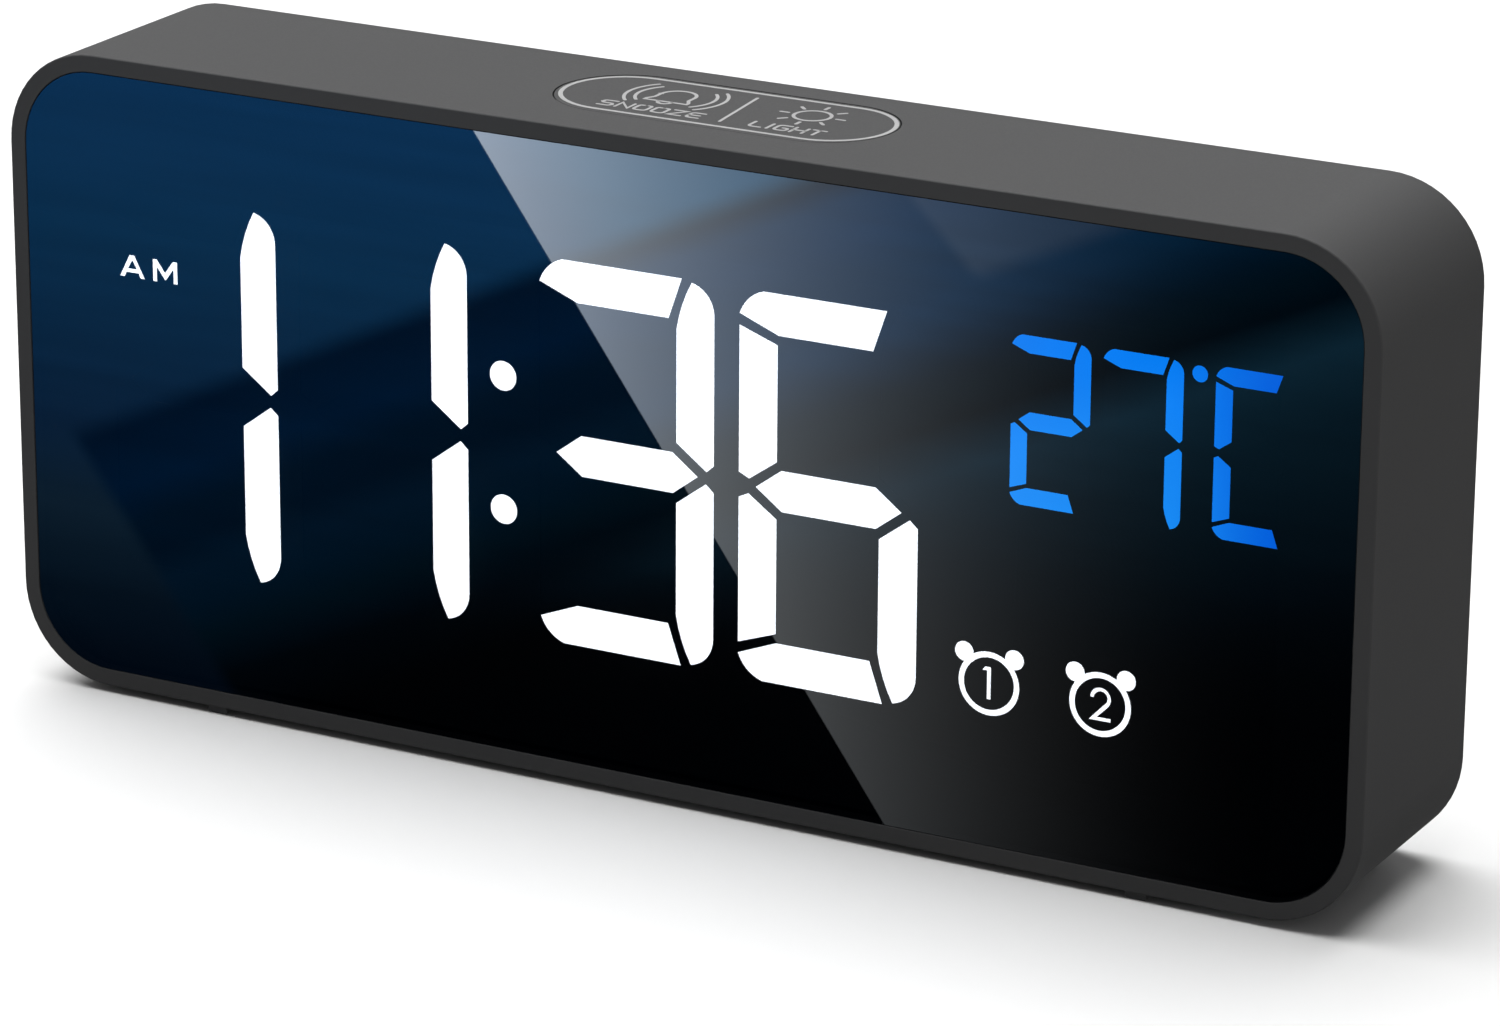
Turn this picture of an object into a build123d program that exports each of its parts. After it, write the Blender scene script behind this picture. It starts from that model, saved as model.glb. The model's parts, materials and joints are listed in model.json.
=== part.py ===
"""Mirror-faced LED alarm clock, built as the separate pieces it comes apart into.

Millimetres. X runs to the right, Y to the back and Z up, and the origin is on the table,
under the middle of the case. The display faces the front, which is -Y.
"""
from build123d import *
import os

os.makedirs("parts", exist_ok=True)

# ------------------------------------------------------------------ driving dimensions
body_width = 165.0
body_height = 73.8
body_depth = 27.6
corner_radius = 11.0
wall = 1.9
foot_height = 0.9

lens_setback = 0.1
lens_thickness = 1.5
lens_gap = 0.05
film_thickness = 0.15
tape_thickness = 0.2
panel_thickness = 1.5
panel_gap = 0.05
board_thickness = 1.6

light_box_width = 151.0
light_box_height = 49.4
light_box_depth = 7.0
light_box_middle = 37.3
diffuser_thickness = 1.5

digit_height = 43.6
digit_width = 21.45
digit_bar = 4.65
digit_pitch = 24.4
hour_left = -70.35
minute_left = -15.52
digit_middle = 37.65
colon_x = -20.07
colon_spacing = 15.2
colon_radius = 1.7

small_digit_height = 18.5
small_digit_drop = 0.15
temperature_left = 40.8
small_digit_pitch = 10.4
unit_left = 63.8
degree_x = 62.05
degree_radius = 0.9
marker_left = -69.5
marker_base = 49.35
alarm_icon_x = (38.9, 51.8)
alarm_icon_z = 20.45

cover_thickness = 2.0
cover_recess = 1.0
cover_gap = 0.2

snooze_length = 40.0
snooze_width = 15.9
snooze_y = 1.05
snooze_gap = 0.15
rear_key_radius = 3.5
rear_key_pitch = 10.0
rear_key_z = 61.0
rear_key_travel = 0.5

cell_radius = 5.25
cell_length = 44.5
cell_pitch = 11.0
bay_x = -38.0
bay_z = 37.3
bay_length = 50.5
bay_height = 33.0
bay_wall = 1.2
door_lap = 1.8
door_thickness = 1.8
door_gap = 0.3

speaker_x = 60.0
speaker_z = 34.0
speaker_radius = 13.0
usb_x = 24.0
usb_z = 16.5
vent_x = 4.0
vent_z = 17.0

# ------------------------------------------------------------------ places worked out from them
front_y = -body_depth / 2
back_y = body_depth / 2
body_top = foot_height + body_height
middle_z = foot_height + body_height / 2
inner_width = body_width - 2 * wall
inner_height = body_height - 2 * wall
inner_radius = corner_radius - wall
inner_top = body_top - wall

lens_front_y = front_y + lens_setback
lens_back_y = lens_front_y + lens_thickness
film_back_y = lens_back_y + film_thickness
panel_front_y = film_back_y + tape_thickness
panel_back_y = panel_front_y + panel_thickness
led_board_front_y = film_back_y + light_box_depth
led_board_back_y = led_board_front_y + board_thickness

cover_back_y = back_y - cover_recess
cover_front_y = cover_back_y - cover_thickness
main_board_back_y = cover_front_y - 5.7
main_board_front_y = main_board_back_y - board_thickness

small_digit_middle = digit_middle + (digit_height - small_digit_height) / 2 - small_digit_drop
degree_z = small_digit_middle + small_digit_height / 2 - 1.2
digit_left = (hour_left, hour_left + digit_pitch, minute_left, minute_left + digit_pitch)
small_left = (temperature_left, temperature_left + small_digit_pitch, unit_left)

post_inset = 8.0
post_points = [
    (side * (body_width / 2 - post_inset), middle_z + level * (body_height / 2 - post_inset))
    for side in (-1, 1)
    for level in (-1, 1)
]
led_screw_points = [(side * 40.0, z) for side in (-1, 1) for z in (9.2, 65.4)]
main_screw_points = [(x, z) for x in (-5.0, 42.5) for z in (12.5, 53.0)]
snooze_screw_points = [(side * 27.0, 4.0) for side in (-1, 1)]
rear_key_x = [index * rear_key_pitch for index in range(5)]
snooze_switch_points = [(side * 10.0, 4.0) for side in (-1, 1)]

bay_floor_y = 0.0
cell_y = bay_floor_y + cell_radius + 0.1
cell_z = [bay_z + step * cell_pitch for step in (1, 0, -1)]
bay_left = bay_x - bay_length / 2
bay_right = bay_x + bay_length / 2
bay_top = bay_z + bay_height / 2
bay_bottom = bay_z - bay_height / 2
contact_thickness = 0.4
door_front_y = cover_back_y - door_thickness
hinge_y = cover_back_y - door_thickness / 2
hinge_z = bay_top + 2.0
hinge_pin_radius = 0.6
hinge_pin_length = 1.3
door_half_width = bay_length / 2 + door_lap

screw_clearance = 0.02
segments_of = {"1": "bc", "2": "abdeg", "3": "abcdg", "6": "acdefg", "7": "abc", "C": "adef"}


# ------------------------------------------------------------------ shared drawing helpers
def upright(y):
    """Vertical plane at depth y, facing the front, whose own axes are X and Z."""
    return Plane.XZ.offset(-y)


def draw_segment(letter, left, middle, height):
    """Draw one bar, a to g, of a seven-bar digit into the open sketch."""
    scale = height / digit_height
    level = -1 if letter in "cde" else 1
    top = digit_height / 2
    right = digit_width
    tip_up = top - 2.8
    corner_up = top - 3.7

    def at(across, up):
        return (left + across * scale, middle + level * up * scale)

    with BuildLine() as outline:
        if letter in "ad":
            ThreePointArc(at(0, tip_up), at(1.1, top - 1.05), at(2.9, top))
            Polyline(
                at(2.9, top),
                at(right - 3.95, top),
                at(right - 5.55, top - digit_bar),
                at(4.7, top - digit_bar),
                at(0, tip_up),
            )
        elif letter in "bc":
            ThreePointArc(at(right - digit_bar, 16.1), at(right - 3.95, 18.9), at(right - 2.8, top - 0.3))
            ThreePointArc(at(right - 2.8, top - 0.3), at(right - 1.0, top - 1.25), at(right, corner_up))
            Polyline(
                at(right, corner_up),
                at(right, 1.5),
                at(right - 0.95, 0.65),
                at(right - digit_bar, 3.4),
                at(right - digit_bar, 16.1),
            )
        elif letter in "ef":
            Polyline(
                at(0, top - 4.0),
                at(digit_bar, top - 5.65),
                at(digit_bar, 3.2),
                at(1.25, 0.8),
                at(0, 1.4),
                close=True,
            )
        else:
            Polyline(
                at(2.05, 0),
                at(5.2, digit_bar / 2),
                at(right - 5.05, digit_bar / 2),
                at(right - 1.95, 0),
                at(right - 5.05, -digit_bar / 2),
                at(5.2, -digit_bar / 2),
                close=True,
            )
    make_face(outline.edges())


def bars_at(left):
    """Bars that a digit has. The first hour digit has no f bar: the AM marker is in its place."""
    return "abcdeg" if left == hour_left else "abcdefg"


def draw_digits(numbers, lefts, middle, height, lit=True):
    """Draw the lit bars of a row of digits, or the unlit ones."""
    for number, left in zip(numbers, lefts):
        for letter in bars_at(left):
            if (letter in segments_of[number]) == lit:
                draw_segment(letter, left, middle, height)


def draw_colon():
    with Locations(
        (colon_x, digit_middle + colon_spacing / 2), (colon_x, digit_middle - colon_spacing / 2)
    ):
        Circle(colon_radius)


def draw_degree():
    with Locations((degree_x, degree_z)):
        Circle(degree_radius)


def draw_am_marker():
    """The letters A and M, 2.6 mm tall."""

    def at(across, up):
        return (marker_left + across, marker_base + up)

    with BuildLine() as outline:
        Polyline(
            at(0, 0), at(1.35, 2.6), at(2.05, 2.6), at(3.4, 0), at(2.72, 0), at(2.45, 0.55),
            at(0.95, 0.55), at(0.68, 0), close=True,
        )
    make_face(outline.edges())
    with BuildLine() as outline:
        Polyline(at(1.18, 1.05), at(2.22, 1.05), at(1.7, 1.95), close=True)
    make_face(outline.edges(), mode=Mode.SUBTRACT)
    with BuildLine() as outline:
        Polyline(
            at(4.4, 0), at(4.4, 2.6), at(5.02, 2.6), at(6.05, 1.2), at(7.08, 2.6), at(7.7, 2.6),
            at(7.7, 0), at(7.1, 0), at(7.1, 1.6), at(6.15, 0.32), at(5.95, 0.32), at(5.0, 1.6),
            at(5.0, 0), close=True,
        )
    make_face(outline.edges())


def draw_alarm_clock(x):
    """Round clock face outline with two bells."""
    with Locations((x, alarm_icon_z)):
        Circle(3.58)
    with Locations((x - 2.93, alarm_icon_z + 3.14), (x + 2.93, alarm_icon_z + 3.14)):
        Circle(1.12)
    with Locations((x, alarm_icon_z)):
        Circle(2.89, mode=Mode.SUBTRACT)


def draw_number_one(x):
    with BuildLine() as outline:
        Polyline(
            (x - 0.25, alarm_icon_z - 1.78),
            (x - 0.25, alarm_icon_z + 1.42),
            (x - 0.8, alarm_icon_z + 1.42),
            (x - 0.45, alarm_icon_z + 1.88),
            (x + 0.25, alarm_icon_z + 1.88),
            (x + 0.25, alarm_icon_z - 1.78),
            close=True,
        )
    make_face(outline.edges())


def draw_number_two(x):
    bowl_x = x + 0.05
    bowl_z = alarm_icon_z + 0.68
    with BuildLine() as outline:
        CenterArc((bowl_x, bowl_z), 0.99, 180, -222)
    trace(outline.line, line_width=0.44)
    with BuildLine() as outline:
        Polyline(
            (x - 1.28, alarm_icon_z - 1.82),
            (x + 0.62, alarm_icon_z + 0.2),
            (x + 0.95, alarm_icon_z - 0.12),
            (x - 0.3, alarm_icon_z - 1.38),
            (x + 1.28, alarm_icon_z - 1.38),
            (x + 1.28, alarm_icon_z - 1.82),
            close=True,
        )
    make_face(outline.edges())


def draw_every_window():
    """Every shape that the display can light, lit or not."""
    for lit in (True, False):
        draw_digits("1136", digit_left, digit_middle, digit_height, lit)
        draw_digits("27C", small_left, small_digit_middle, small_digit_height, lit)
    draw_colon()
    draw_degree()


def screw_group(plane, points, shaft_length, toward=1, head_radius=2.2, shaft_radius=1.1):
    """Pan-head screws seated on one plane. Their shafts run along its normal times toward."""
    head_height = 1.2
    slot_length = 1.25 * head_radius
    with BuildPart() as group:
        with BuildSketch(plane):
            with Locations(*points):
                Circle(shaft_radius)
        extrude(amount=toward * shaft_length)
        with BuildSketch(plane):
            with Locations(*points):
                Circle(head_radius)
        extrude(amount=-toward * head_height)
        along = Axis(plane.origin, plane.z_dir * toward)
        fillet(group.edges().filter_by(GeomType.CIRCLE).group_by(along)[0], 0.4)
        with BuildSketch(plane.offset(-toward * head_height)):
            with Locations(*points):
                Rectangle(slot_length, 0.5)
                Rectangle(0.5, slot_length)
        extrude(amount=toward * 0.7, mode=Mode.SUBTRACT)
    return group.part


def wire_group(routes, radius=0.6):
    """Insulated wires. Each route is a list of points and the bend radius at its corners."""
    with BuildPart() as group:
        for points, bend in routes:
            with BuildLine() as route:
                if len(points) > 2:
                    FilletPolyline(*points, radius=bend)
                else:
                    Line(*points)
            with BuildSketch(Plane(origin=route.line @ 0, z_dir=route.line % 0)):
                Circle(radius)
            sweep(path=route.line)
    return group.part


# ------------------------------------------------------------------ housing
window_width = light_box_width + 0.6
window_height = light_box_height + 0.6
post_radius = 3.0
led_post_radius = 2.5
snooze_post_radius = 2.2
foot_x = 57.0
foot_width = 2.4
foot_length = 26.0
foot_y = -0.4
foot_pocket = 0.4
snooze_board_bottom = inner_top - 4.9
snooze_board_thickness = 1.2

with BuildPart() as housing:
    with BuildSketch(upright(back_y)):
        with Locations((0, middle_z)):
            RectangleRounded(body_width, body_height, corner_radius)
    extrude(amount=body_depth)
    fillet(housing.faces().sort_by(Axis.Y)[0].edges(), 0.2)
    fillet(housing.faces().sort_by(Axis.Y)[-1].edges(), 0.8)
    with BuildSketch(upright(back_y)):
        with Locations((0, middle_z)):
            RectangleRounded(inner_width, inner_height, inner_radius)
    extrude(amount=body_depth, mode=Mode.SUBTRACT)
    # posts for the rear cover, tied to the side walls by ribs; the front panel rests on them
    with BuildSketch(upright(cover_front_y)):
        with Locations(*post_points):
            Circle(post_radius)
    extrude(amount=cover_front_y - panel_back_y)
    for post_x, post_z in post_points:
        outward = 1 if post_x > 0 else -1
        with BuildSketch(upright(cover_front_y)):
            with Locations((post_x + outward * 4.2, post_z)):
                Rectangle(5.0, 1.4)
        extrude(amount=cover_front_y - panel_back_y)
    with BuildSketch(upright(cover_front_y)):
        with Locations(*post_points):
            Circle(1.1 + screw_clearance)
    extrude(amount=9.0, mode=Mode.SUBTRACT)
    # opening for the snooze key and the two posts that its board hangs from
    with BuildSketch(Plane.XY.offset(body_top)):
        with Locations((0, snooze_y)):
            SlotOverall(snooze_length + 2 * snooze_gap, snooze_width + 2 * snooze_gap)
    extrude(amount=-2 * wall, mode=Mode.SUBTRACT)
    with BuildSketch(Plane.XY.offset(snooze_board_bottom + snooze_board_thickness)):
        with Locations(*snooze_screw_points):
            Circle(snooze_post_radius)
    extrude(amount=inner_top - snooze_board_bottom - snooze_board_thickness)
    with BuildSketch(Plane.XY.offset(snooze_board_bottom)):
        with Locations(*snooze_screw_points):
            Circle(0.9 + screw_clearance)
    extrude(amount=4.5, mode=Mode.SUBTRACT)
    # pockets that hold the runner feet
    with BuildSketch(Plane.XY.offset(foot_height)):
        with Locations((-foot_x, foot_y), (foot_x, foot_y)):
            Rectangle(foot_width, foot_length)
    extrude(amount=foot_pocket, mode=Mode.SUBTRACT)


# plate that carries the lens on its front, and the light box and its board on its back
with BuildPart() as front_panel:
    with BuildSketch(upright(panel_back_y)):
        with Locations((0, middle_z)):
            RectangleRounded(
                inner_width - 2 * panel_gap, inner_height - 2 * panel_gap, inner_radius - panel_gap
            )
        with Locations((0, light_box_middle)):
            RectangleRounded(window_width, window_height, 1.0, mode=Mode.SUBTRACT)
    extrude(amount=panel_thickness)
    with BuildSketch(upright(led_board_front_y)):
        with Locations(*led_screw_points):
            Circle(led_post_radius)
    extrude(amount=led_board_front_y - panel_back_y)
    with BuildSketch(upright(led_board_front_y)):
        with Locations(*led_screw_points):
            Circle(1.1 + screw_clearance)
    extrude(amount=4.5, mode=Mode.SUBTRACT)


def runner_foot(x):
    with BuildPart() as foot:
        with BuildSketch(Plane.XY):
            with Locations((x, foot_y)):
                Rectangle(foot_width, foot_length)
        extrude(amount=foot_height + foot_pocket)
        fillet(foot.faces().sort_by(Axis.Z)[0].edges(), 0.3)
    return foot.part


# ------------------------------------------------------------------ front lens, film and tape
with BuildPart() as front_lens:
    with BuildSketch(upright(lens_back_y)):
        with Locations((0, middle_z)):
            RectangleRounded(
                inner_width - 2 * lens_gap, inner_height - 2 * lens_gap, inner_radius - lens_gap
            )
    extrude(amount=lens_thickness)
    chamfer(front_lens.faces().sort_by(Axis.Y)[0].edges(), 0.08)

with BuildPart() as display_mask_film:
    with BuildSketch(upright(film_back_y)):
        with Locations((0, middle_z)):
            RectangleRounded(inner_width - 0.4, inner_height - 0.4, inner_radius - 0.2)
    extrude(amount=film_thickness)
    with BuildSketch(upright(film_back_y)):
        draw_every_window()
        draw_am_marker()
        for icon_x in alarm_icon_x:
            draw_alarm_clock(icon_x)
        draw_number_one(alarm_icon_x[0])
        draw_number_two(alarm_icon_x[1])
    extrude(amount=film_thickness, mode=Mode.SUBTRACT)

with BuildPart() as lens_tape:
    with BuildSketch(upright(panel_front_y)):
        with Locations((0, middle_z)):
            RectangleRounded(inner_width - 0.6, inner_height - 0.6, inner_radius - 0.3)
        with Locations((0, light_box_middle)):
            RectangleRounded(window_width + 2.0, window_height + 2.0, 1.5, mode=Mode.SUBTRACT)
    extrude(amount=tape_thickness)

# ------------------------------------------------------------------ display
pocket_margin = 0.06

with BuildPart() as light_box:
    with BuildSketch(upright(led_board_front_y)):
        with Locations((0, light_box_middle)):
            RectangleRounded(light_box_width, light_box_height, 0.8)
    extrude(amount=light_box_depth)
    with BuildSketch(upright(led_board_front_y)):
        draw_every_window()
        offset(amount=pocket_margin, kind=Kind.INTERSECTION)
    extrude(amount=light_box_depth, mode=Mode.SUBTRACT)
    # one round pocket behind each small symbol
    with BuildSketch(upright(led_board_front_y)):
        with Locations(*[(icon_x, alarm_icon_z + 0.4) for icon_x in alarm_icon_x]):
            Circle(5.3)
        with Locations((marker_left + 3.85, marker_base + 1.3)):
            Rectangle(8.4, 3.4)
    extrude(amount=light_box_depth, mode=Mode.SUBTRACT)


def diffusers(draw):
    """Milky light guides that fill the windows, drawn by one of the drawing helpers."""
    with BuildPart() as lamps:
        with BuildSketch(upright(film_back_y + diffuser_thickness)):
            draw()
        extrude(amount=diffuser_thickness)
    return lamps.part


hour_digits_lit = diffusers(
    lambda: draw_digits("11", digit_left[:2], digit_middle, digit_height)
)
minute_digits_lit = diffusers(
    lambda: draw_digits("36", digit_left[2:], digit_middle, digit_height)
)
time_digits_unlit = diffusers(
    lambda: draw_digits("1136", digit_left, digit_middle, digit_height, lit=False)
)
temperature_digits_lit = diffusers(
    lambda: draw_digits("27C", small_left, small_digit_middle, small_digit_height)
)
temperature_digits_unlit = diffusers(
    lambda: draw_digits("27C", small_left, small_digit_middle, small_digit_height, lit=False)
)
colon_dots = diffusers(draw_colon)
degree_dot = diffusers(draw_degree)
am_marker = diffusers(draw_am_marker)


def alarm_icon(draw_number, x):
    def draw():
        draw_alarm_clock(x)
        draw_number(x)

    return diffusers(draw)


alarm_1_icon = alarm_icon(draw_number_one, alarm_icon_x[0])
alarm_2_icon = alarm_icon(draw_number_two, alarm_icon_x[1])

with BuildPart() as led_board:
    with BuildSketch(upright(led_board_back_y)):
        with Locations((0, light_box_middle)):
            Rectangle(light_box_width, light_box_height)
        with Locations(*[(x, z + (1.5 if z < middle_z else -1.5)) for x, z in led_screw_points]):
            Rectangle(9.0, 9.5)
        with Locations(*led_screw_points):
            Circle(1.3, mode=Mode.SUBTRACT)
    extrude(amount=board_thickness)


def segment_lamps(letter, left, middle, height, spread):
    """Places of the chips behind one bar: two for a long bar, one for a short one."""
    scale = height / digit_height
    half_bar = digit_bar / 2
    across = {"b": digit_width - half_bar, "c": digit_width - half_bar, "e": half_bar, "f": half_bar}
    up = {"a": 1.0, "d": -1.0, "g": 0.0}
    flat = letter in up
    x = left + scale * (across.get(letter, digit_width / 2))
    if flat:
        z = middle + scale * up[letter] * (digit_height / 2 - half_bar)
    else:
        z = middle + scale * (digit_height / 4 if letter in "bf" else -digit_height / 4)
    steps = (-spread, spread) if spread else (0,)
    return [(x + step, z) if flat else (x, z + step) for step in steps]


lamp_points = []
for left in digit_left:
    for letter in bars_at(left):
        lamp_points += segment_lamps(letter, left, digit_middle, digit_height, 4.5)
for left in small_left:
    for letter in "abcdefg":
        lamp_points += segment_lamps(letter, left, small_digit_middle, small_digit_height, 0)
lamp_points += [(colon_x, digit_middle + side * colon_spacing / 2) for side in (-1, 1)]
lamp_points += [(icon_x, alarm_icon_z) for icon_x in alarm_icon_x]
lamp_points += [(marker_left + 2.0, marker_base + 1.3), (marker_left + 5.7, marker_base + 1.3)]

with BuildPart() as led_chips:
    with BuildSketch(upright(led_board_front_y)):
        with Locations(*lamp_points):
            Rectangle(1.6, 0.8)
    extrude(amount=0.7)

with BuildPart() as led_driver_chips:
    with BuildSketch(upright(led_board_back_y)):
        with Locations((-30.0, 37.0), (44.0, 37.0)):
            Rectangle(17.9, 7.5)
    extrude(amount=-1.6)
    chamfer(led_driver_chips.faces().group_by(Axis.Y)[-1].edges(), 0.25)

ribbon_x = 18.0
led_plug_z = 30.0
main_plug_z = 48.0
ribbon_front_y = led_board_back_y + 1.0
ribbon_rear_y = main_board_front_y - 1.0


def ribbon_plug(plug_z, first_y, last_y):
    """Flat socket that one end of the ribbon plugs into."""
    with BuildPart() as plug:
        with BuildSketch(upright(last_y)):
            with Locations((ribbon_x, plug_z)):
                Rectangle(15.0, 4.0)
        extrude(amount=last_y - first_y)
        fillet(plug.edges().filter_by(Axis.Y), 0.4)
    return plug.part


led_board_plug = ribbon_plug(led_plug_z, led_board_back_y, led_board_back_y + 2.0)
main_board_plug = ribbon_plug(main_plug_z, main_board_front_y - 2.0, main_board_front_y)

with BuildPart() as ribbon_cable:
    with BuildSketch(Plane.YZ.offset(ribbon_x - 6.0)):
        with BuildLine():
            FilletPolyline(
                (ribbon_front_y, led_plug_z + 2.0),
                (ribbon_front_y, led_plug_z + 5.5),
                (ribbon_rear_y, main_plug_z - 5.5),
                (ribbon_rear_y, main_plug_z - 2.0),
                radius=2.5,
            )
        trace(line_width=0.6)
    extrude(amount=12.0)

led_board_screws = screw_group(upright(led_board_back_y), led_screw_points, 5.5)

# ------------------------------------------------------------------ main board
main_board_left = -8.0
main_board_right = 45.5
main_board_bottom = 9.0
main_board_top = 66.0

with BuildPart() as main_board:
    with BuildSketch(upright(main_board_back_y)):
        with Locations(
            ((main_board_left + main_board_right) / 2, (main_board_bottom + main_board_top) / 2)
        ):
            RectangleRounded(
                main_board_right - main_board_left, main_board_top - main_board_bottom, 1.0
            )
        with Locations(*main_screw_points):
            Circle(1.3, mode=Mode.SUBTRACT)
    extrude(amount=board_thickness)

with BuildPart() as microcontroller:
    with BuildSketch(upright(main_board_front_y)):
        with Locations((2.0, 36.0)):
            Rectangle(10.0, 10.0)
    extrude(amount=1.4)
    chamfer(microcontroller.faces().sort_by(Axis.Y)[0].edges(), 0.25)

with BuildPart() as clock_crystal:
    with BuildSketch(upright(main_board_front_y)):
        with Locations((2.0, 25.5)):
            SlotOverall(8.0, 3.0)
    extrude(amount=2.4)
    fillet(clock_crystal.faces().sort_by(Axis.Y)[0].edges(), 0.3)

with BuildPart() as capacitors:
    with BuildSketch(upright(main_board_back_y)):
        with Locations((37.5, 24.0), (37.5, 30.5)):
            Circle(2.4)
    extrude(amount=-4.6)
    fillet(capacitors.faces().group_by(Axis.Y)[-1].edges(), 0.4)

with BuildPart() as voltage_regulator:
    with BuildSketch(upright(main_board_back_y)):
        with Locations((28.5, 27.0)):
            Rectangle(6.5, 3.5)
    extrude(amount=-1.6)
    chamfer(voltage_regulator.faces().sort_by(Axis.Y)[-1].edges(), 0.25)

usb_mouth_y = cover_back_y - 0.5
usb_depth = usb_mouth_y - main_board_back_y
with BuildPart() as usb_socket:
    with BuildSketch(upright(main_board_back_y)):
        with Locations((usb_x, usb_z)):
            RectangleRounded(8.94, 3.26, 1.2)
    extrude(amount=-usb_depth)
    with BuildSketch(upright(main_board_back_y + 1.2)):
        with Locations((usb_x, usb_z)):
            RectangleRounded(8.34, 2.66, 1.0)
            Rectangle(6.7, 0.7, mode=Mode.SUBTRACT)
    extrude(amount=-usb_depth, mode=Mode.SUBTRACT)

switch_body_height = 2.8
switch_top_y = main_board_back_y + switch_body_height + 0.8
with BuildPart() as rear_key_switches:
    with BuildSketch(upright(main_board_back_y)):
        with Locations(*[(x, rear_key_z) for x in rear_key_x]):
            RectangleRounded(6.0, 6.0, 0.4)
    extrude(amount=-switch_body_height)
    with BuildSketch(upright(main_board_back_y + switch_body_height)):
        with Locations(*[(x, rear_key_z) for x in rear_key_x]):
            Circle(1.7)
    extrude(amount=-0.8)

with BuildPart() as temperature_sensor:
    with BuildSketch(upright(main_board_back_y)):
        with Locations((vent_x - 0.7, vent_z), (vent_x + 0.7, vent_z)):
            Circle(0.25)
    extrude(amount=-3.2)
    with Locations((vent_x, main_board_back_y + 3.9, vent_z)):
        Sphere(1.3)

main_board_screws = screw_group(
    upright(main_board_front_y), main_screw_points, 6.0, toward=-1
)

# ------------------------------------------------------------------ snooze key and its board
snooze_flange_top = inner_top - 0.3
snooze_flange_bottom = snooze_flange_top - 0.9
snooze_stem_bottom = snooze_flange_bottom - 0.35
snooze_board_top = snooze_board_bottom + snooze_board_thickness

with BuildPart() as snooze_key:
    with BuildSketch(Plane.XY.offset(snooze_flange_top)):
        with Locations((0, snooze_y)):
            SlotOverall(snooze_length, snooze_width)
    extrude(amount=body_top - snooze_flange_top)
    fillet(snooze_key.faces().sort_by(Axis.Z)[-1].edges(), 0.12)
    with BuildSketch(Plane.XY.offset(snooze_flange_bottom)):
        with Locations((0, snooze_y)):
            SlotOverall(snooze_length + 3.0, snooze_width + 2.6)
    extrude(amount=snooze_flange_top - snooze_flange_bottom)
    with BuildSketch(Plane.XY.offset(snooze_flange_bottom)):
        with Locations((0, snooze_y)):
            SlotOverall(snooze_length - 3.0, snooze_width - 3.0)
    extrude(amount=1.5, mode=Mode.SUBTRACT)
    with BuildSketch(Plane.XY.offset(snooze_stem_bottom)):
        with Locations(*snooze_switch_points):
            Circle(1.5)
    extrude(amount=2.0)

with BuildPart() as snooze_board:
    with BuildSketch(Plane.XY.offset(snooze_board_bottom)):
        with Locations((0, 4.0)):
            RectangleRounded(60.0, 7.6, 0.8)
        with Locations(*snooze_screw_points):
            Circle(1.1, mode=Mode.SUBTRACT)
    extrude(amount=snooze_board_thickness)

with BuildPart() as snooze_switches:
    with BuildSketch(Plane.XY.offset(snooze_board_top)):
        with Locations(*snooze_switch_points):
            RectangleRounded(6.0, 6.0, 0.4)
    extrude(amount=1.2)
    with BuildSketch(Plane.XY.offset(snooze_board_top + 1.2)):
        with Locations(*snooze_switch_points):
            Circle(1.6)
    extrude(amount=0.4)

snooze_board_screws = screw_group(
    Plane.XY.offset(snooze_board_bottom), snooze_screw_points, 4.4, head_radius=1.7, shaft_radius=0.9
)
snooze_wires = wire_group(
    [
        (
            [
                (x, main_board_front_y - 1.6, snooze_board_bottom),
                (x, main_board_front_y - 1.6, 62.0),
                (x, main_board_front_y, 62.0),
            ],
            1.2,
        )
        for x in (19.0, 20.5, 22.0)
    ],
    radius=0.5,
)

# ------------------------------------------------------------------ rear cover
collar_depth = 2.6
collar_margin = door_lap + 2.0
collar_top = hinge_z + door_thickness / 2 + door_gap + 1.6
collar_bottom = bay_bottom - collar_margin
recess_top = hinge_z + door_thickness / 2 + door_gap
recess_bottom = bay_bottom - door_lap - door_gap
ledge_y = door_front_y - door_gap
tail_z = (cell_z[0], cell_z[2])
tail_y = cell_y - 1.0

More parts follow.
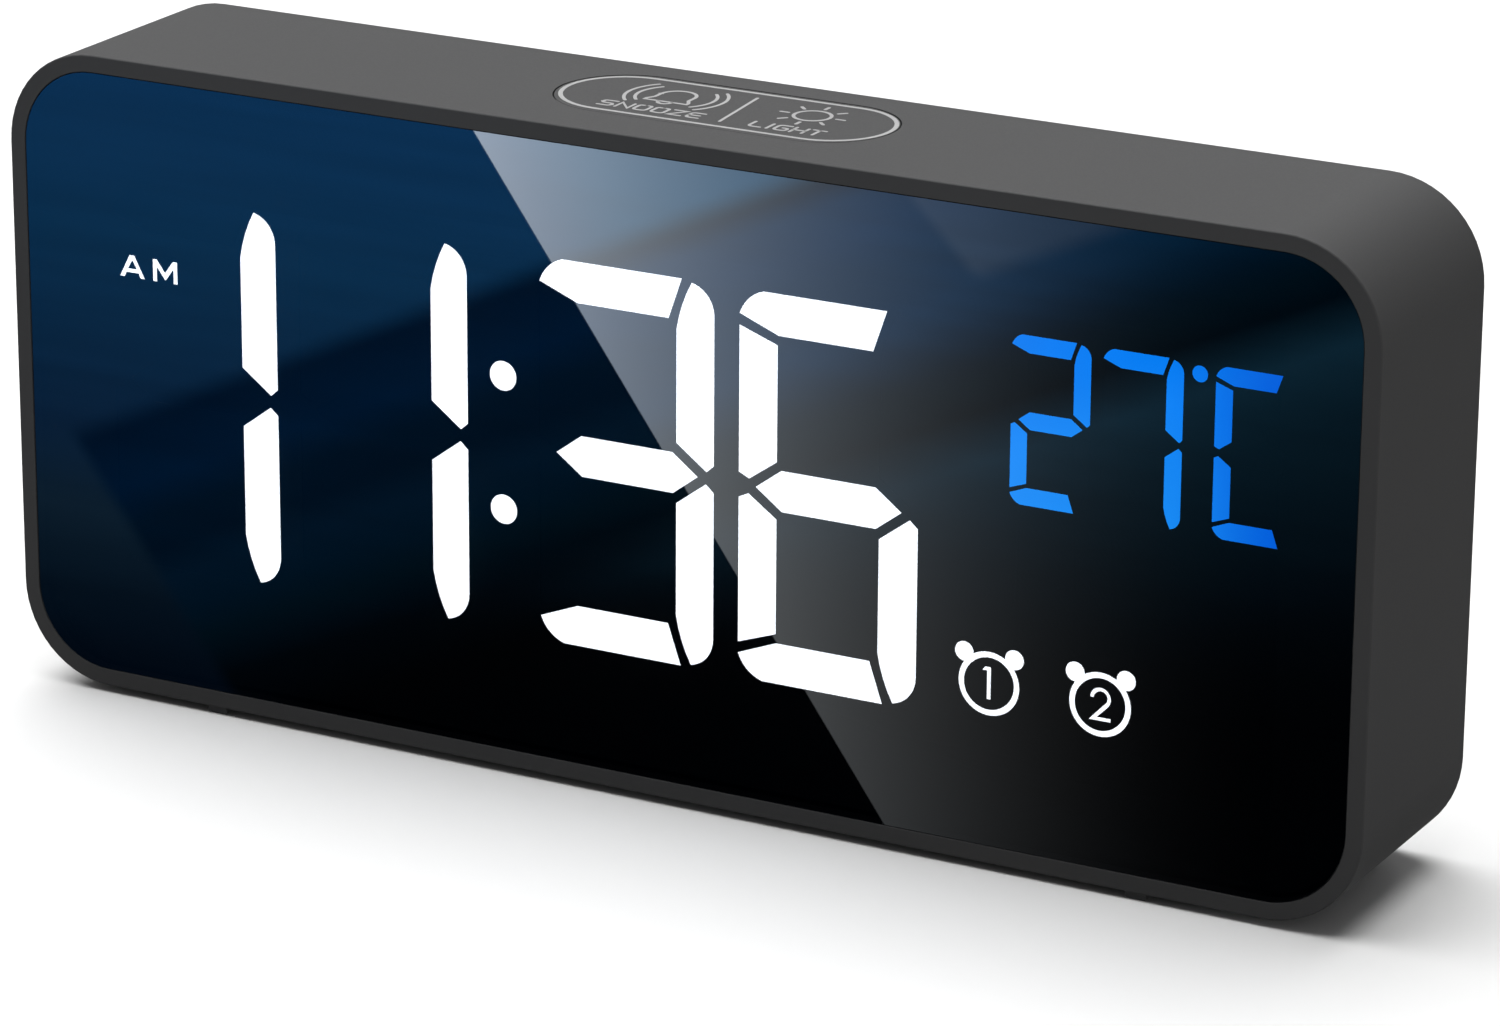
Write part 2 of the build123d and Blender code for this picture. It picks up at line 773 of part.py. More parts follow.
with BuildPart() as rear_cover:
    with BuildSketch(upright(cover_back_y)):
        with Locations((0, middle_z)):
            RectangleRounded(
                inner_width - 2 * cover_gap, inner_height - 2 * cover_gap, inner_radius - cover_gap
            )
    extrude(amount=cover_thickness)
    chamfer(rear_cover.faces().sort_by(Axis.Y)[-1].edges(), 0.3)
    # battery bay: a thick collar under the door and a thin-walled tray
    with BuildSketch(upright(cover_front_y)):
        with Locations((bay_x, (collar_top + collar_bottom) / 2)):
            Rectangle(bay_length + 2 * collar_margin, collar_top - collar_bottom)
    extrude(amount=collar_depth)
    with BuildSketch(upright(cover_front_y)):
        with Locations((bay_x, bay_z)):
            Rectangle(bay_length + 2 * bay_wall, bay_height + 2 * bay_wall)
    extrude(amount=cover_front_y - bay_floor_y + bay_wall)
    with BuildSketch(upright(cover_back_y)):
        with Locations((bay_x, (recess_top + recess_bottom) / 2)):
            Rectangle(2 * (door_half_width + door_gap), recess_top - recess_bottom)
    extrude(amount=cover_back_y - ledge_y, mode=Mode.SUBTRACT)
    with BuildSketch(upright(ledge_y)):
        with Locations((bay_x, bay_z)):
            RectangleRounded(bay_length, bay_height, 1.0)
    extrude(amount=ledge_y - bay_floor_y, mode=Mode.SUBTRACT)
    # holes for the hinge pins, and slots for the contact tails
    with BuildSketch(Plane.YZ.offset(bay_x - door_half_width - 1.55)):
        with Locations((hinge_y, hinge_z)):
            Circle(hinge_pin_radius + 0.06)
    extrude(amount=2 * (door_half_width + 1.55), mode=Mode.SUBTRACT)
    with BuildSketch(Plane.YZ.offset(bay_right - 0.5)):
        with Locations((tail_y, tail_z[0])):
            Rectangle(2.2, 0.8)
    extrude(amount=bay_wall + 1.0, mode=Mode.SUBTRACT)
    with BuildSketch(Plane.YZ.offset(bay_left + 0.5)):
        with Locations((tail_y, tail_z[1])):
            Rectangle(2.2, 0.8)
    extrude(amount=-bay_wall - 1.0, mode=Mode.SUBTRACT)
    # scoop for a fingertip below the door
    with BuildSketch(upright(cover_back_y)):
        with Locations((bay_x, recess_bottom)):
            SlotOverall(15.0, 6.0)
    extrude(amount=1.2, mode=Mode.SUBTRACT)
    # posts for the main board and the ring that holds the speaker
    with BuildSketch(upright(cover_front_y)):
        with Locations(*main_screw_points):
            Circle(2.5)
    extrude(amount=cover_front_y - main_board_back_y)
    with BuildSketch(upright(main_board_back_y)):
        with Locations(*main_screw_points):
            Circle(1.1 + screw_clearance)
    extrude(amount=-4.8, mode=Mode.SUBTRACT)
    with BuildSketch(upright(cover_front_y)):
        with Locations((speaker_x, speaker_z)):
            Circle(speaker_radius + 1.6)
            Circle(speaker_radius + 0.3, mode=Mode.SUBTRACT)
        with Locations((speaker_x - speaker_radius - 1.0, speaker_z)):
            Rectangle(3.0, 5.0, mode=Mode.SUBTRACT)
    extrude(amount=3.0)
    # speaker grille, sensor vent, socket opening, key holes and screw holes
    with BuildSketch(upright(cover_back_y)):
        with Locations((speaker_x, speaker_z)):
            Circle(0.75)
            for ring in (1, 2, 3):
                with PolarLocations(3.0 * ring, 6 * ring):
                    Circle(0.75)
        with Locations((vent_x, vent_z)):
            with GridLocations(2.4, 0, 4, 1):
                SlotOverall(7.0, 1.1, rotation=90)
        with Locations((usb_x, usb_z)):
            RectangleRounded(10.0, 4.3, 1.7)
        with Locations(*[(x, rear_key_z) for x in rear_key_x]):
            Circle(rear_key_radius + 0.25)
        with Locations(*post_points):
            Circle(1.3)
    extrude(amount=cover_thickness, mode=Mode.SUBTRACT)
    with BuildSketch(upright(cover_back_y)):
        with Locations(*post_points):
            Circle(2.6)
    extrude(amount=1.2, mode=Mode.SUBTRACT)

rear_cover_screws = screw_group(upright(cover_back_y - 1.2), post_points, 9.0)

# ------------------------------------------------------------------ rear keys
key_flange_back_y = cover_front_y - 0.3
key_flange_front_y = key_flange_back_y - 0.9
key_stem_front_y = switch_top_y + rear_key_travel + 0.1
key_top_y = cover_back_y + 0.4


def rear_key(x):
    """Round push key with a flange that keeps it behind the cover and a stem for its switch."""
    with BuildPart() as key:
        with BuildSketch(upright(key_flange_back_y)):
            with Locations((x, rear_key_z)):
                Circle(rear_key_radius)
        extrude(amount=key_flange_back_y - key_top_y)
        fillet(key.faces().sort_by(Axis.Y)[-1].edges(), 0.5)
        with BuildSketch(upright(key_flange_back_y)):
            with Locations((x, rear_key_z)):
                Circle(rear_key_radius + 1.0)
        extrude(amount=key_flange_back_y - key_flange_front_y)
        with BuildSketch(upright(key_flange_front_y)):
            with Locations((x, rear_key_z)):
                Circle(1.5)
        extrude(amount=key_flange_front_y - key_stem_front_y)
    return key.part


# ------------------------------------------------------------------ speaker
speaker_plane = Plane(origin=(speaker_x, 0, speaker_z), x_dir=(1, 0, 0), z_dir=(0, 0, 1))
speaker_axis = Axis((speaker_x, 0, speaker_z), (0, 1, 0))
gasket_thickness = 0.6
rim_y = cover_front_y - gasket_thickness

with BuildPart() as speaker_gasket:
    with BuildSketch(upright(cover_front_y)):
        with Locations((speaker_x, speaker_z)):
            Circle(speaker_radius)
            Circle(speaker_radius - 1.8, mode=Mode.SUBTRACT)
    extrude(amount=gasket_thickness)

with BuildPart() as speaker_frame:
    with BuildSketch(speaker_plane):
        with BuildLine():
            Polyline(
                (speaker_radius, rim_y),
                (speaker_radius, rim_y - 1.2),
                (speaker_radius - 1.2, rim_y - 1.2),
                (7.5, rim_y - 4.0),
                (3.0, rim_y - 4.0),
                (3.0, rim_y - 3.2),
                (7.2, rim_y - 3.2),
                (speaker_radius - 1.8, rim_y - 0.6),
                (speaker_radius - 1.8, rim_y),
                close=True,
            )
        make_face()
    revolve(axis=speaker_axis)

with BuildPart() as speaker_cone:
    with BuildSketch(speaker_plane):
        with BuildLine():
            Polyline(
                (speaker_radius - 1.9, rim_y),
                (speaker_radius - 1.9, rim_y - 0.4),
                (4.2, rim_y - 2.7),
                (0, rim_y - 2.2),
                (0, rim_y - 1.8),
                (4.3, rim_y - 2.3),
                close=True,
            )
        make_face()
    revolve(axis=speaker_axis)

with BuildPart() as speaker_magnet:
    with BuildSketch(upright(rim_y - 4.0)):
        with Locations((speaker_x, speaker_z)):
            Circle(6.0)
    extrude(amount=3.2)
    chamfer(speaker_magnet.faces().sort_by(Axis.Y)[0].edges(), 0.4)

speaker_wires = wire_group(
    [
        (
            [
                (speaker_x - speaker_radius - 0.1, rim_y - 0.6, z),
                (main_board_right - 2.5, rim_y - 0.6, z),
                (main_board_right - 2.5, main_board_back_y, z),
            ],
            1.6,
        )
        for z in (speaker_z - 1.0, speaker_z + 1.0)
    ],
    radius=0.5,
)

# ------------------------------------------------------------------ battery bay
with BuildPart() as battery_door:
    with BuildSketch(Plane.YZ.offset(bay_x - door_half_width)):
        with Locations((hinge_y, hinge_z)):
            Circle(door_thickness / 2)
        with Locations((hinge_y, (hinge_z + bay_bottom - door_lap) / 2)):
            Rectangle(door_thickness, hinge_z - bay_bottom + door_lap)
    extrude(amount=2 * door_half_width)
    fillet(battery_door.edges().filter_by(Axis.X).group_by(Axis.Z)[0].sort_by(Axis.Y)[-1], 0.5)
    # three grip ribs near the free edge
    with BuildSketch(upright(cover_back_y)):
        with Locations((bay_x, bay_bottom + 4.5)):
            with GridLocations(0, 2.0, 1, 3):
                SlotOverall(14.0, 0.9)
    extrude(amount=-0.35)
    with BuildSketch(Plane.YZ.offset(bay_x - door_half_width - hinge_pin_length)):
        with Locations((hinge_y, hinge_z)):
            Circle(hinge_pin_radius)
    extrude(amount=2 * (door_half_width + hinge_pin_length))

nub_length = 1.0
nub_radius = 1.9
case_length = cell_length - nub_length
right_contact_x = bay_right - contact_thickness
left_contact_x = bay_left + contact_thickness
spring_length = right_contact_x - left_contact_x - cell_length
nub_to_right = (True, False, True)

with BuildPart() as battery_cells:
    for z, rightward in zip(cell_z, nub_to_right):
        nub_x = right_contact_x if rightward else left_contact_x
        inward = -1 if rightward else 1
        with BuildSketch(Plane.YZ.offset(nub_x)):
            with Locations((cell_y, z)):
                Circle(nub_radius)
        extrude(amount=inward * nub_length)
        with BuildSketch(Plane.YZ.offset(nub_x + inward * nub_length)):
            with Locations((cell_y, z)):
                Circle(cell_radius)
        extrude(amount=inward * case_length)
    fillet(battery_cells.edges().filter_by(GeomType.CIRCLE).filter_by(lambda e: e.radius > 5), 0.5)

spring_wire = 0.3
with BuildPart() as battery_springs:
    for z, rightward in zip(cell_z, nub_to_right):
        start_x = left_contact_x if rightward else right_contact_x
        away = 1 if rightward else -1
        with BuildLine() as coil:
            Helix(
                pitch=(spring_length - 2 * spring_wire) / 4,
                height=spring_length - 2 * spring_wire,
                radius=2.7,
                center=(start_x + away * spring_wire, cell_y, z),
                direction=(away, 0, 0),
            )
        with BuildSketch(Plane(origin=coil.line @ 0, z_dir=coil.line % 0)):
            Circle(spring_wire)
        sweep(path=coil.line)

contact_height = 8.0
contact_depth = 8.0
link_middle = {"left": (cell_z[0] + cell_z[1]) / 2, "right": (cell_z[1] + cell_z[2]) / 2}

with BuildPart() as battery_link_plates:
    for edge_x, side in ((left_contact_x, "left"), (bay_right, "right")):
        with BuildSketch(Plane.YZ.offset(edge_x)):
            with Locations((cell_y, link_middle[side])):
                RectangleRounded(contact_depth, contact_height + cell_pitch, 0.8)
        extrude(amount=-contact_thickness)

tail_length = bay_wall + 1.0
with BuildPart() as battery_terminal_plates:
    for edge_x, z, outward in ((bay_right, cell_z[0], 1), (bay_left, cell_z[2], -1)):
        with BuildSketch(Plane.YZ.offset(edge_x)):
            with Locations((cell_y, z)):
                RectangleRounded(contact_depth, contact_height, 0.8)
        extrude(amount=-outward * contact_thickness)
        with BuildSketch(Plane.YZ.offset(edge_x)):
            with Locations((tail_y, z)):
                Rectangle(2.0, 0.5)
        extrude(amount=outward * tail_length)

wire_low_z = 15.5
wire_side_x = bay_left - tail_length - 3.0
battery_wires = wire_group(
    [
        (
            [(bay_right + tail_length, tail_y, cell_z[0]), (main_board_left, tail_y, cell_z[0])],
            0,
        ),
        (
            [
                (bay_left - tail_length, tail_y, cell_z[2]),
                (wire_side_x, tail_y, cell_z[2]),
                (wire_side_x, tail_y, wire_low_z),
                (main_board_left, tail_y, wire_low_z),
            ],
            1.6,
        ),
    ]
)

# ------------------------------------------------------------------ label and write every piece
pieces = {
    "housing": housing.part,
    "front_panel": front_panel.part,
    "foot_left": runner_foot(-foot_x),
    "foot_right": runner_foot(foot_x),
    "front_lens": front_lens.part,
    "display_mask_film": display_mask_film.part,
    "lens_tape": lens_tape.part,
    "light_box": light_box.part,
    "hour_digits_lit": hour_digits_lit,
    "minute_digits_lit": minute_digits_lit,
    "time_digits_unlit": time_digits_unlit,
    "colon_dots": colon_dots,
    "temperature_digits_lit": temperature_digits_lit,
    "temperature_digits_unlit": temperature_digits_unlit,
    "degree_dot": degree_dot,
    "am_marker": am_marker,
    "alarm_1_icon": alarm_1_icon,
    "alarm_2_icon": alarm_2_icon,
    "led_board": led_board.part,
    "led_chips": led_chips.part,
    "led_driver_chips": led_driver_chips.part,
    "led_board_plug": led_board_plug,
    "led_board_screws": led_board_screws,
    "ribbon_cable": ribbon_cable.part,
    "main_board": main_board.part,
    "main_board_plug": main_board_plug,
    "microcontroller": microcontroller.part,
    "clock_crystal": clock_crystal.part,
    "capacitors": capacitors.part,
    "voltage_regulator": voltage_regulator.part,
    "usb_socket": usb_socket.part,
    "rear_key_switches": rear_key_switches.part,
    "temperature_sensor": temperature_sensor.part,
    "main_board_screws": main_board_screws,
    "snooze_key": snooze_key.part,
    "snooze_board": snooze_board.part,
    "snooze_switches": snooze_switches.part,
    "snooze_board_screws": snooze_board_screws,
    "snooze_wires": snooze_wires,
    "rear_cover": rear_cover.part,
    "rear_cover_screws": rear_cover_screws,
    "speaker_gasket": speaker_gasket.part,
    "speaker_frame": speaker_frame.part,
    "speaker_cone": speaker_cone.part,
    "speaker_magnet": speaker_magnet.part,
    "speaker_wires": speaker_wires,
    "battery_door": battery_door.part,
    "battery_cells": battery_cells.part,
    "battery_springs": battery_springs.part,
    "battery_link_plates": battery_link_plates.part,
    "battery_terminal_plates": battery_terminal_plates.part,
    "battery_wires": battery_wires,
}
key_names = ("mode_key", "alarm_key", "up_key", "down_key", "dimmer_key")
for key_name, key_x in zip(key_names, rear_key_x):
    pieces[key_name] = rear_key(key_x)

for piece_name, piece in pieces.items():
    piece.label = piece_name
    export_step(piece, f"parts/{piece_name}.step")
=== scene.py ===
"""Looks of the mirror-faced LED alarm clock: materials, printed marks, studio and camera."""
import json
import math

import bpy
from mathutils import Matrix, Vector


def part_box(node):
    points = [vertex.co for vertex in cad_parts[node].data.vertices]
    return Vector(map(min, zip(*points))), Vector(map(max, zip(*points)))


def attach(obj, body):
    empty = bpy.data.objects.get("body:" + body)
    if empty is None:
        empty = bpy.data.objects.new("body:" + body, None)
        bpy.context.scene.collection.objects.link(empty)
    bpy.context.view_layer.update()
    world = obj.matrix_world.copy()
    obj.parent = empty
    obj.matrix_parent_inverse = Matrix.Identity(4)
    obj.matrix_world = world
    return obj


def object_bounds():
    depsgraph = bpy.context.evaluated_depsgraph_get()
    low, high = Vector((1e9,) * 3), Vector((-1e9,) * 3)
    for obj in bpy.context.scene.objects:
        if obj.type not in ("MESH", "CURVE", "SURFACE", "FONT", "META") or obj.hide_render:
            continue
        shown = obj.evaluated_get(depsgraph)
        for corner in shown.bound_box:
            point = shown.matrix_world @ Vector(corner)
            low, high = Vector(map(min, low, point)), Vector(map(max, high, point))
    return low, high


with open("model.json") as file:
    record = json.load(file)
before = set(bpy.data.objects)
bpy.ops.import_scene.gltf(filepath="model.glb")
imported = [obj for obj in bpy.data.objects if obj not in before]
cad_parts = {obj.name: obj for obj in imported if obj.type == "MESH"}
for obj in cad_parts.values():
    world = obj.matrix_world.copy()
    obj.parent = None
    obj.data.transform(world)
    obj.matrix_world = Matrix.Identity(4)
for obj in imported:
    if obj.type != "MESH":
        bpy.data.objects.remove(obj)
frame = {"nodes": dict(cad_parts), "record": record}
nodes = frame["nodes"]
cad_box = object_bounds()
MM = 0.001


# ------------------------------------------------------------------ shader wiring
class Net:
    """Short words for wiring the nodes of one material or world."""

    def __init__(self, tree):
        self.tree = tree
        tree.nodes.clear()

    def node(self, kind, **settings):
        made = self.tree.nodes.new("ShaderNode" + kind)
        for key, value in settings.items():
            setattr(made, key, value)
        return made

    def join(self, source, socket):
        """Sets a socket from a number, a colour or another node's output."""
        if isinstance(source, bpy.types.NodeSocket):
            self.tree.links.new(source, socket)
        else:
            socket.default_value = source

    def math(self, operation, first, second=0.0, clamp=False):
        """The result of one Math node."""
        made = self.node("Math", operation=operation, use_clamp=clamp)
        self.join(first, made.inputs[0])
        self.join(second, made.inputs[1])
        return made.outputs[0]

    def step(self, value, low, high):
        """0 below low and 1 above high, smooth between them."""
        made = self.node("MapRange", interpolation_type="SMOOTHSTEP")
        self.join(value, made.inputs["Value"])
        made.inputs["From Min"].default_value = low
        made.inputs["From Max"].default_value = high
        return made.outputs["Result"]

    def mix(self, factor, first, second, blend="MIX"):
        """Two colours, blended."""
        made = self.node("Mix", data_type="RGBA", blend_type=blend)
        self.join(factor, made.inputs["Factor"])
        # the colour sockets of the Mix node
        self.join(first, made.inputs[6])
        self.join(second, made.inputs[7])
        return made.outputs[2]

    def remap(self, value, factor, start):
        """value * factor + start."""
        return self.math("ADD", self.math("MULTIPLY", value, factor), start)

    def ramp(self, value, stops):
        """A colour ramp through (place, colour) stops."""
        made = self.node("ValToRGB")
        colours = made.color_ramp.elements
        for index, (place, colour) in enumerate(stops):
            element = colours[index] if index < 2 else colours.new(place)
            element.position = place
            element.color = (*colour, 1.0)
        self.join(value, made.inputs[0])
        return made.outputs[0]

    def point(self):
        """The shaded point, in the object's own coordinates."""
        return self.node("TexCoord").outputs["Object"]

    def place(self):
        """The same point, one socket for each axis."""
        made = self.node("SeparateXYZ")
        self.join(self.point(), made.inputs[0])
        return made.outputs

    def noise(self, scale, detail=3.0, vector=None):
        made = self.node("TexNoise")
        made.inputs["Scale"].default_value = scale
        made.inputs["Detail"].default_value = detail
        self.join(vector or self.point(), made.inputs["Vector"])
        return made.outputs["Fac"]

    def bump(self, height, strength, distance):
        made = self.node("Bump")
        made.inputs["Strength"].default_value = strength
        made.inputs["Distance"].default_value = distance
        self.join(height, made.inputs["Height"])
        return made.outputs["Normal"]

    def mix_shaders(self, factor, first, second):
        """A Mix Shader node over two shader nodes."""
        made = self.node("MixShader")
        self.join(factor, made.inputs[0])
        self.join(first.outputs[0], made.inputs[1])
        self.join(second.outputs[0], made.inputs[2])
        return made

    def output(self, shader):
        self.join(shader, self.node("OutputMaterial").inputs["Surface"])


MATERIALS = {}


def new_material(name):
    """Keeps an empty material in MATERIALS under its name, and returns the Net that wires it."""
    material = bpy.data.materials.new(name)
    material.use_nodes = True
    MATERIALS[name] = material
    return Net(material.node_tree)


# ------------------------------------------------------------------ materials
def tinted(colour, factor):
    """A colour made darker or lighter, as a colour socket takes it."""
    return (*(channel * factor for channel in colour), 1.0)


CLOUD_SCALE = 60.0
ROUGHNESS_SPREAD = 0.12


def moulded(name, colour, rough, grain=2500.0, depth=0.02, tone=0.12, specular=0.3):
    """Moulded or pressed surface: fine grain, depth in mm, and a tone that drifts a little."""
    net = new_material(name)
    shader = net.node("BsdfPrincipled")
    clouds = net.noise(CLOUD_SCALE, 4.0)
    fine = net.noise(grain, 2.0)
    cloudy = net.mix(clouds, tinted(colour, 1 - tone), tinted(colour, 1 + tone))
    net.join(cloudy, shader.inputs["Base Color"])
    roughness = net.remap(fine, ROUGHNESS_SPREAD, rough - ROUGHNESS_SPREAD / 2)
    net.join(roughness, shader.inputs["Roughness"])
    net.join(net.bump(fine, 0.5, depth * MM), shader.inputs["Normal"])
    shader.inputs["Specular IOR Level"].default_value = specular
    net.output(shader.outputs[0])


SCRATCHES_ACROSS = 9000.0
SCRATCHES_ALONG = 500.0


def brushed(name, colour, rough, axis=0):
    """Metal with fine scratches that run along one axis."""
    net = new_material(name)
    shader = net.node("BsdfPrincipled")
    mapping = net.node("Mapping")
    stretch = [SCRATCHES_ACROSS] * 3
    stretch[axis] = SCRATCHES_ALONG
    mapping.inputs["Scale"].default_value = stretch
    net.join(net.point(), mapping.inputs["Vector"])
    lines = net.noise(1.0, 2.0, mapping.outputs[0])
    net.join(net.mix(lines, tinted(colour, 0.82), tinted(colour, 1.1)), shader.inputs["Base Color"])
    net.join(net.remap(lines, 0.2, rough), shader.inputs["Roughness"])
    net.join(net.bump(lines, 0.3, 0.01 * MM), shader.inputs["Normal"])
    shader.inputs["Metallic"].default_value = 1.0
    net.output(shader.outputs[0])


UNEVENNESS = 0.06
WHITE_STRENGTH = 2.5
BLUE_STRENGTH = 1.9


def uneven_light(net):
    """Light of a milky guide lit from behind: a factor near 1 that drifts a little."""
    return net.remap(net.noise(160.0, 2.0), 2 * UNEVENNESS, 1 - UNEVENNESS)


def white_lamp():
    """White light guide."""
    net = new_material("white_light")
    shader = net.node("Emission")
    net.join(net.mix(uneven_light(net), (0, 0, 0, 1), (1, 1, 1, 1)), shader.inputs["Color"])
    shader.inputs["Strength"].default_value = WHITE_STRENGTH
    net.output(shader.outputs[0])


def blue_lamp():
    """Blue light guide, deeper towards its right end and paler at its foot."""
    net = new_material("blue_light")
    low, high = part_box("temperature_digits_lit")
    place = net.place()
    rightward = net.step(place["X"], low.x + 16 * MM, high.x + 2 * MM)
    downward = net.step(place["Z"], high.z + 2 * MM, low.z)
    tint = net.mix(downward, (0.0, 0.205, 0.86, 1), (0.008, 0.262, 0.88, 1))
    tint = net.mix(rightward, tint, (0.0, 0.102, 0.66, 1))
    shader = net.node("Emission")
    net.join(net.mix(1.0, tint, uneven_light(net), blend="MULTIPLY"), shader.inputs["Color"])
    shader.inputs["Strength"].default_value = BLUE_STRENGTH
    net.output(shader.outputs[0])


def circuit_board():
    """Green solder mask over copper tracks."""
    net = new_material("circuit_board")
    shader = net.node("BsdfPrincipled")
    tracks = net.node("TexBrick")
    tracks.offset = 0.37
    tracks.inputs["Scale"].default_value = 170.0
    tracks.inputs["Mortar Size"].default_value = 0.06
    tracks.inputs["Color1"].default_value = (0.012, 0.085, 0.03, 1)
    tracks.inputs["Color2"].default_value = (0.010, 0.07, 0.026, 1)
    tracks.inputs["Mortar"].default_value = (0.03, 0.17, 0.055, 1)
    net.join(net.point(), tracks.inputs["Vector"])
    net.join(tracks.outputs["Color"], shader.inputs["Base Color"])
    net.join(net.remap(net.noise(700.0), 0.15, 0.2), shader.inputs["Roughness"])
    net.join(net.bump(tracks.outputs["Fac"], 0.3, 0.03 * MM), shader.inputs["Normal"])
    net.output(shader.outputs[0])


CELL_HALF_PITCH = 5.5 * MM
CELL_BAND = 32.0 * MM
CELL_CAP = 43.2 * MM
CELL_FOOT = 0.5 * MM


def cell_jacket():
    """Battery sleeve: dark body, copper-coloured band at one end and bare steel at the very ends."""
    net = new_material("cell_jacket")
    shader = net.node("BsdfPrincipled")
    place = net.place()
    low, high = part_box("battery_cells")
    middle = (low.z + high.z) / 2
    # the middle cell lies the other way round
    from_middle = net.math("ABSOLUTE", net.math("SUBTRACT", place["Z"], middle))
    outer_rows = net.math("GREATER_THAN", from_middle, CELL_HALF_PITCH)
    towards_right = net.math("SUBTRACT", place["X"], low.x)
    towards_left = net.math("SUBTRACT", high.x, place["X"])
    along = net.math(
        "ADD",
        net.math("MULTIPLY", towards_right, outer_rows),
        net.math("MULTIPLY", towards_left, net.math("SUBTRACT", 1.0, outer_rows)),
    )
    band = net.math("GREATER_THAN", along, CELL_BAND)
    steel = net.math(
        "MAXIMUM",
        net.math("GREATER_THAN", along, CELL_CAP),
        net.math("LESS_THAN", along, CELL_FOOT),
    )
    jacket = net.mix(band, (0.012, 0.014, 0.018, 1), (0.42, 0.17, 0.05, 1))
    net.join(net.mix(steel, jacket, (0.6, 0.59, 0.57, 1)), shader.inputs["Base Color"])
    net.join(net.math("MAXIMUM", steel, net.math("MULTIPLY", band, 0.8)), shader.inputs["Metallic"])
    scuffs = net.noise(900.0, 4.0)
    net.join(net.remap(scuffs, 0.2, 0.2), shader.inputs["Roughness"])
    net.join(net.bump(scuffs, 0.1, 0.02 * MM), shader.inputs["Normal"])
    net.output(shader.outputs[0])


LENS_REFLECTANCE = 0.4
LENS_CORNER = 9.05 * MM
LENS_BORDER = 0.6 * MM
LENS_FRONT_SKIN = 0.03 * MM
LENS_PAINT_FROM = 0.1 * MM


def lens_edge(net, place, low, high):
    """1 within LENS_BORDER of the lens's rounded outline, behind its front face, and 0 elsewhere."""
    middle = (low + high) / 2
    half = (high - low) / 2
    squares = []
    for axis, centre, reach in (("X", middle.x, half.x), ("Z", middle.z, half.z)):
        apart = net.math("ABSOLUTE", net.math("SUBTRACT", place[axis], centre))
        past = net.math("MAXIMUM", net.math("SUBTRACT", apart, reach - LENS_CORNER), 0.0)
        squares.append(net.math("MULTIPLY", past, past))
    from_corner = net.math("SQRT", net.math("ADD", *squares))
    near_edge = net.math("GREATER_THAN", from_corner, LENS_CORNER - LENS_BORDER)
    behind = net.math("GREATER_THAN", place["Y"], low.y + LENS_PAINT_FROM)
    return net.math("MULTIPLY", near_edge, behind)


def smoked_mirror():
    """Smoked half-mirror with black edges.

    Its front face mirrors, and what it lets through is a little dimmer. Its narrow edges and a thin
    border of its back are painted black.
    """
    net = new_material("smoked_mirror")
    clear = net.node("BsdfTransparent")
    clear.inputs["Color"].default_value = (0.9, 0.92, 0.95, 1)
    mirror = net.node("BsdfAnisotropic")
    mirror.inputs["Color"].default_value = (1, 1, 1, 1)
    net.join(net.remap(net.noise(35.0, 5.0), 0.012, 0.004), mirror.inputs["Roughness"])
    paint = net.node("BsdfDiffuse")
    paint.inputs["Color"].default_value = (0.0012, 0.0012, 0.0014, 1)
    place = net.place()
    low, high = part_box("front_lens")
    front = net.math("LESS_THAN", place["Y"], low.y + LENS_FRONT_SKIN)
    glass = net.mix_shaders(net.math("MULTIPLY", front, LENS_REFLECTANCE), clear, mirror)
    net.output(net.mix_shaders(lens_edge(net, place, low, high), glass, paint).outputs[0])


CASE_GREY = (0.0315, 0.0315, 0.032)
COVER_GREY = (0.022, 0.022, 0.023)
METAL = (0.62, 0.61, 0.58)
SCREW_BLACK = (0.09, 0.09, 0.095)

# grain is how fine the noise is, per metre, and depth is its relief in millimetres
moulded("case_plastic", CASE_GREY, 0.66, grain=5200.0, depth=0.006, tone=0.03, specular=0.12)
moulded("cover_plastic", COVER_GREY, 0.6, grain=2600.0, depth=0.05, tone=0.06)
moulded("key_plastic", COVER_GREY, 0.42, grain=5000.0, depth=0.006, tone=0.04)
# the feet are a little lighter than the case grey: painted light that makes up for the shade they sit
# in under the clock's front
moulded("foot_rubber", (0.036, 0.036, 0.036), 0.85, grain=1800.0, depth=0.04)
moulded("black_film", (0.0008, 0.0009, 0.001), 0.7, specular=0.05)
moulded("foam_tape", (0.015, 0.015, 0.015), 0.95, grain=1500.0, depth=0.08)
moulded("black_plastic", (0.01, 0.01, 0.011), 0.6)
moulded("unlit_diffuser", (0.0012, 0.0013, 0.0015), 0.5, specular=0.05)
moulded("led_package", (0.75, 0.68, 0.35), 0.3, grain=900.0)
moulded("chip_plastic", (0.02, 0.02, 0.021), 0.5, grain=4000.0)
moulded("connector_plastic", (0.62, 0.58, 0.46), 0.45)
moulded("wire_insulation", (0.25, 0.015, 0.012), 0.4, grain=1200.0)
moulded("speaker_paper", (0.02, 0.02, 0.022), 0.9, grain=1500.0, depth=0.1)
moulded("printed_ink", (0.19, 0.19, 0.19), 0.55, grain=3000.0, depth=0.01, tone=0.06)
brushed("bright_metal", METAL, 0.22)
brushed("screw_steel", SCREW_BLACK, 0.35, axis=2)
smoked_mirror()
white_lamp()
blue_lamp()
circuit_board()
cell_jacket()

for part in frame["record"]["subparts"]:
    mesh = nodes[part["node"]].data
    mesh.materials.clear()
    mesh.materials.append(MATERIALS[part["material_slot"]])


# ------------------------------------------------------------------ printed marks
INK_HEIGHT = 0.02 * MM


def arc(centre, radius, start, end, steps=24):
    """Points on a circle from one angle to another, in degrees."""
    angles = [math.radians(start + (end - start) * i / steps) for i in range(steps + 1)]
    return [(centre[0] + radius * math.cos(a), centre[1] + radius * math.sin(a)) for a in angles]


